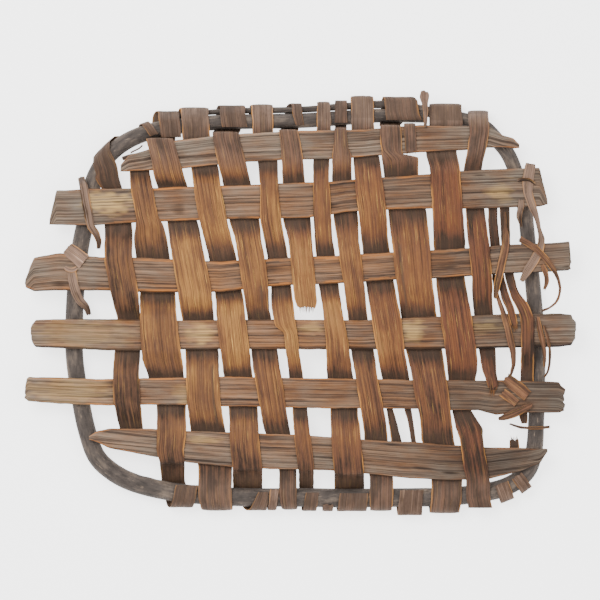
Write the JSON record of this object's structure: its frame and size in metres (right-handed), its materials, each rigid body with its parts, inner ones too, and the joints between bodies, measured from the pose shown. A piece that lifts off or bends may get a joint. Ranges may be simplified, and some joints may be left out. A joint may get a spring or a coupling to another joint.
{
  "type": "woven splint pack panel",
  "caption": "Flat woven panel of rough wooden slats and thin bark splints inside a bent sapling hoop; splint ends wrap round the hoop and torn bark lashings hang at the sides.",
  "frame": {"origin": "middle of the panel's outline, on the surface that its back lies on", "axes": "+X along the slats, +Y towards the panel's top, +Z out of the face where the slats lie on the hoop"},
  "size_m": [0.5532, 0.427, 0.0318],
  "materials": {
    "splint_bark": "dry satin bark, golden brown and streaked along its length",
    "slat_wood": "weathered grey-brown split wood, matt",
    "hoop_bark": "smooth dark grey sapling bark, low sheen",
    "wrap_bark": "dry mauve-brown bark, matt",
    "thong_bark": "thin dark brown inner bark, matt"
  },
  "bodies": {
    "root": {"folded_strip_leaf": "thong_bark", "folded_strip_lower": "thong_bark", "folded_strip_tail": "thong_bark", "folded_strip_upper": "thong_bark", "hoop_snag": "hoop_bark", "hoop_thread": "thong_bark", "lashing_lower_left_band": "wrap_bark", "lashing_lower_left_knot": "wrap_bark", "lashing_lower_left_strand": "wrap_bark", "lashing_middle_right_curl": "thong_bark", "lashing_middle_right_tail": "thong_bark", "lashing_upper_left": "wrap_bark", "lashing_upper_right_band": "wrap_bark", "lashing_upper_right_leaf": "wrap_bark", "lashing_upper_right_loop": "wrap_bark", "rim_hoop": "hoop_bark", "rim_thong_stub": "wrap_bark", "rim_wrap_broad": "wrap_bark", "rim_wrap_corner_inner": "wrap_bark", "rim_wrap_corner_outer": "wrap_bark", "rim_wrap_loose": "wrap_bark", "rim_wrap_top_slip": "wrap_bark", "rim_wrap_torn": "wrap_bark", "slat_1_short_top": "slat_wood", "slat_2_long": "slat_wood", "slat_3_wedge": "slat_wood", "slat_4_round": "slat_wood", "slat_5_long": "slat_wood", "slat_6_short_bottom": "slat_wood", "sliver_lower_right": "thong_bark", "splint_01": "splint_bark", "splint_02": "splint_bark", "splint_03": "splint_bark", "splint_04": "splint_bark", "splint_05": "splint_bark", "splint_06": "splint_bark", "splint_07": "splint_bark", "splint_08": "splint_bark", "splint_09": "splint_bark", "splint_10": "splint_bark", "splint_10_lower_shard": "splint_bark", "splint_10_lower_strand": "splint_bark", "splint_11": "splint_bark", "splint_11_split_strand": "splint_bark", "splint_12": "splint_bark", "splint_13": "splint_bark", "splint_13_lower_stub": "splint_bark", "splint_14": "splint_bark", "splint_14_sliver": "thong_bark", "splint_15": "splint_bark", "splinter_lower_right": "thong_bark", "thong_lower_right": "thong_bark", "thong_upper_right": "thong_bark"}
  },
  "joints": []
}
